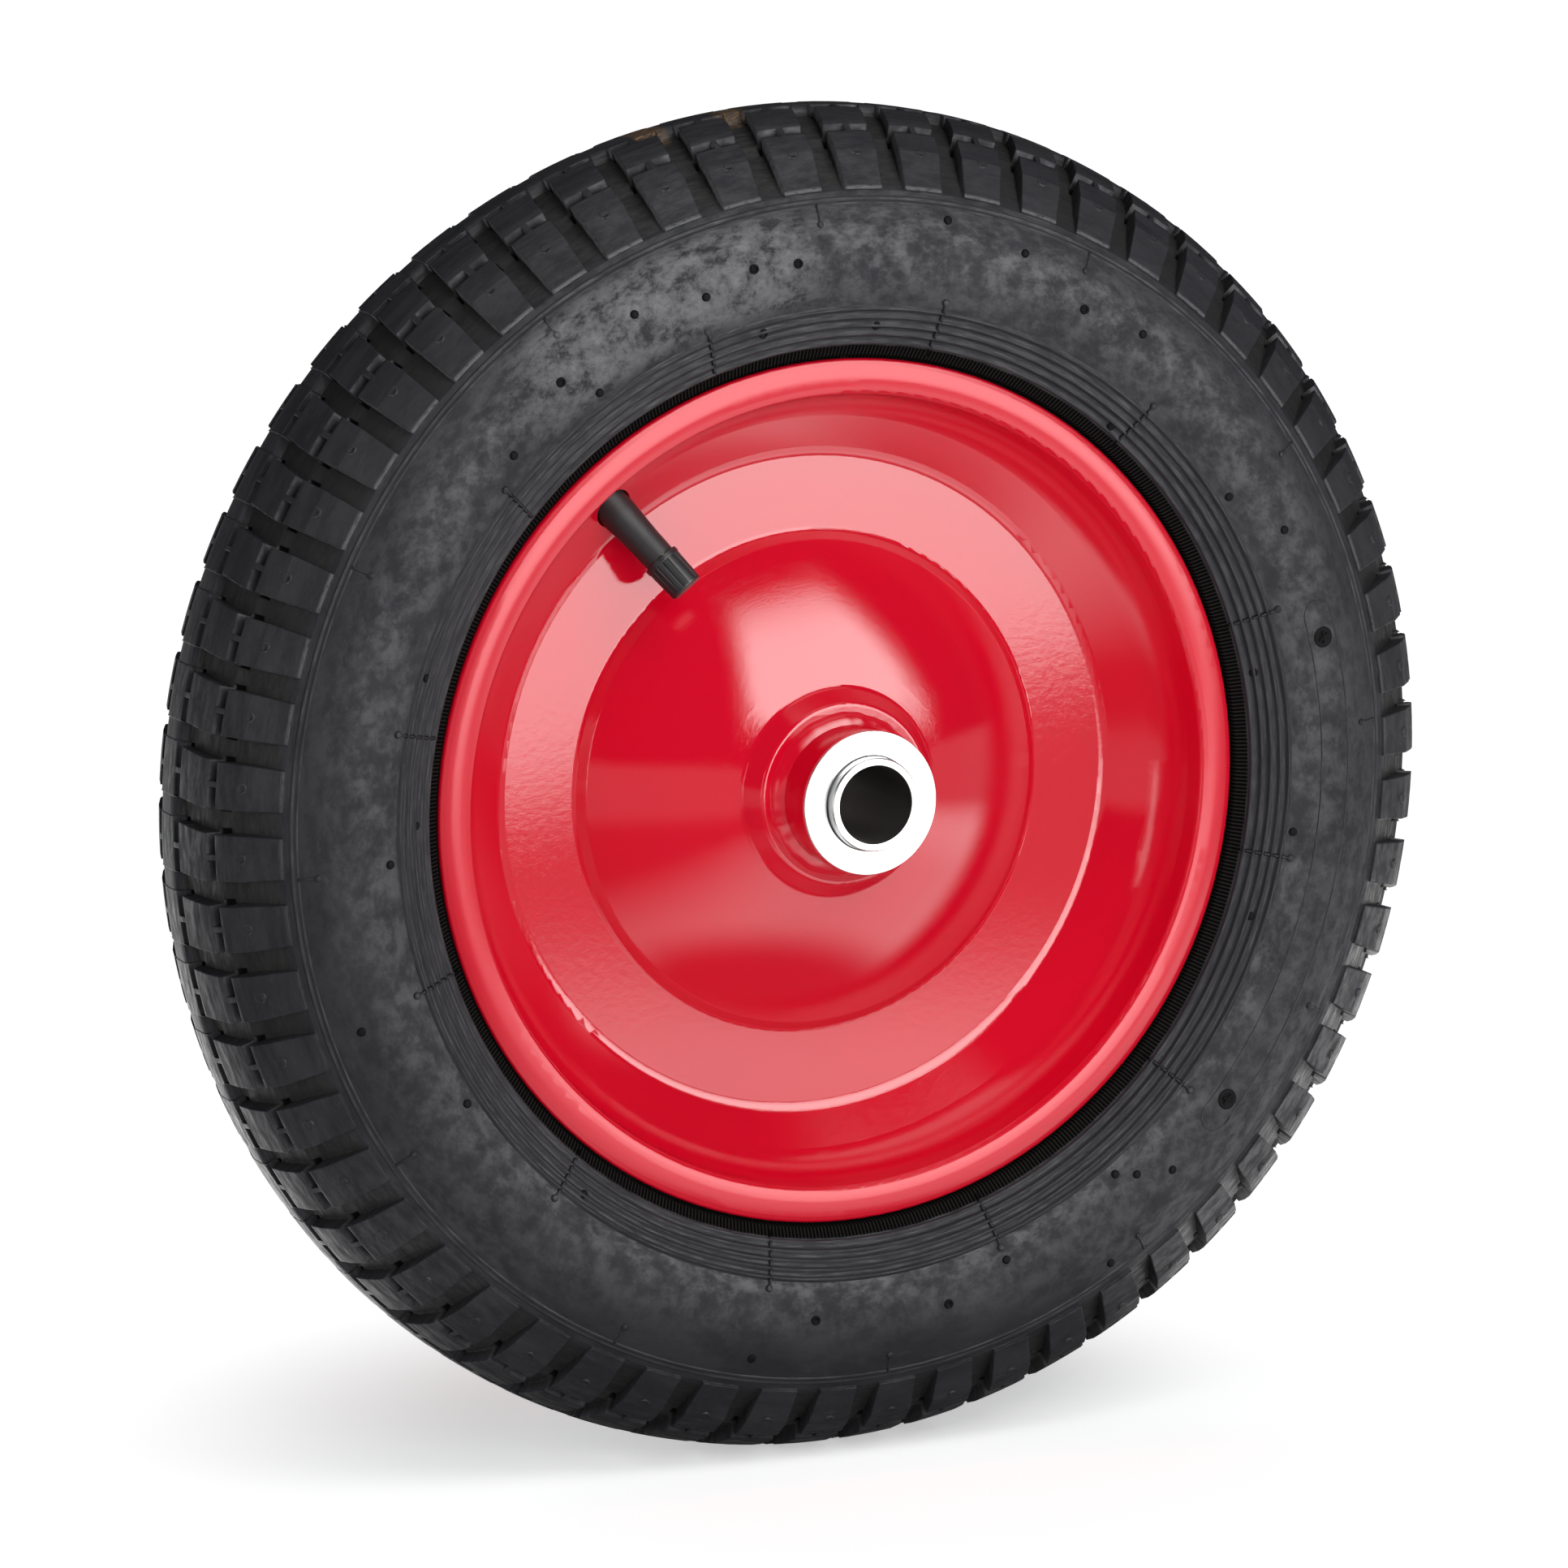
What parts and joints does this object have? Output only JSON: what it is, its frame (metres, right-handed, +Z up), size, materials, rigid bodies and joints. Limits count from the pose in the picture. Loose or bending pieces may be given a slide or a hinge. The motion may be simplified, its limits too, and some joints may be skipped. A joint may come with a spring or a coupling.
{
  "type": "wheelbarrow wheel",
  "caption": "Wheelbarrow wheel with a red two-piece pressed steel rim, a black pneumatic block-tread tyre, a capped valve and pressed ball bearings in a welded hub tube",
  "frame": {"origin": "centre of the wheel, on the axle line and the middle plane", "axes": "Y along the axle with the valve side towards -Y, Z up, X to the right seen from the valve side"},
  "size_m": [0.3486, 0.0864, 0.3486],
  "materials": {
    "tyre_rubber": "moulded rubber, slightly glossy",
    "tube_rubber": "smooth rubber",
    "rim_paint": "glossy red powder coat",
    "zinc_steel": "bright zinc plate",
    "ball_steel": "polished steel",
    "valve_brass": "turned brass",
    "cap_plastic": "moulded black plastic"
  },
  "bodies": {
    "axle_parts": {"inner_race_front": "zinc_steel", "inner_race_rear": "zinc_steel", "spacer_tube": "zinc_steel"},
    "wheel": {"tyre": "tyre_rubber", "inner_tube": "tube_rubber", "rim_half_front": "rim_paint", "rim_half_rear": "rim_paint", "hub_tube": "rim_paint", "hub_weld_front": "rim_paint", "hub_weld_rear": "rim_paint", "bearing_cup_front": "zinc_steel", "bearing_cup_rear": "zinc_steel", "valve_stem": "tube_rubber", "valve_insert": "valve_brass", "valve_core": "valve_brass"},
    "front_balls": {"ball_set_front": "ball_steel", "ball_cage_front": "zinc_steel"},
    "rear_balls": {"ball_set_rear": "ball_steel", "ball_cage_rear": "zinc_steel"},
    "pin": {"valve_pin": "valve_brass"},
    "seal": {"cap_seal": "tube_rubber"},
    "cap": {"valve_cap": "cap_plastic"}
  },
  "joints": [
    {"name": "wheel_spin", "type": "hinge", "parent": "axle_parts", "child": "wheel", "pos_m": [0, 0, 0], "axis": [0, 1, 0], "continuous": true},
    {"name": "front_ball_orbit", "type": "hinge", "parent": "axle_parts", "child": "front_balls", "pos_m": [0, -0.0356, 0], "axis": [0, 1, 0], "continuous": true},
    {"name": "rear_ball_orbit", "type": "hinge", "parent": "axle_parts", "child": "rear_balls", "pos_m": [0, 0.0356, 0], "axis": [0, 1, 0], "continuous": true},
    {"name": "valve_press", "type": "slide", "parent": "wheel", "child": "pin", "axis": [-0.5422, 0.4384, 0.7169], "range_m": [0, 0.001], "stiffness_N_per_m": 200, "springref_m": -0.002},
    {"name": "cap_travel", "type": "slide", "parent": "wheel", "child": "seal", "axis": [0.5422, -0.4384, -0.7169], "range_m": [0, 0.00476]},
    {"name": "cap_turn", "type": "hinge", "parent": "seal", "child": "cap", "pos_m": [-0.04393, -0.01664, 0.05809], "axis": [0.5422, -0.4384, -0.7169], "range_deg": [0, 2160]}
  ],
  "couplings": [
    {"joint": "front_ball_orbit", "follows": "wheel_spin", "ratio": 0.5709},
    {"joint": "rear_ball_orbit", "follows": "wheel_spin", "ratio": 0.5709},
    {"joint": "cap_turn", "follows": "cap_travel", "rad_per_m": 7913.3}
  ]
}
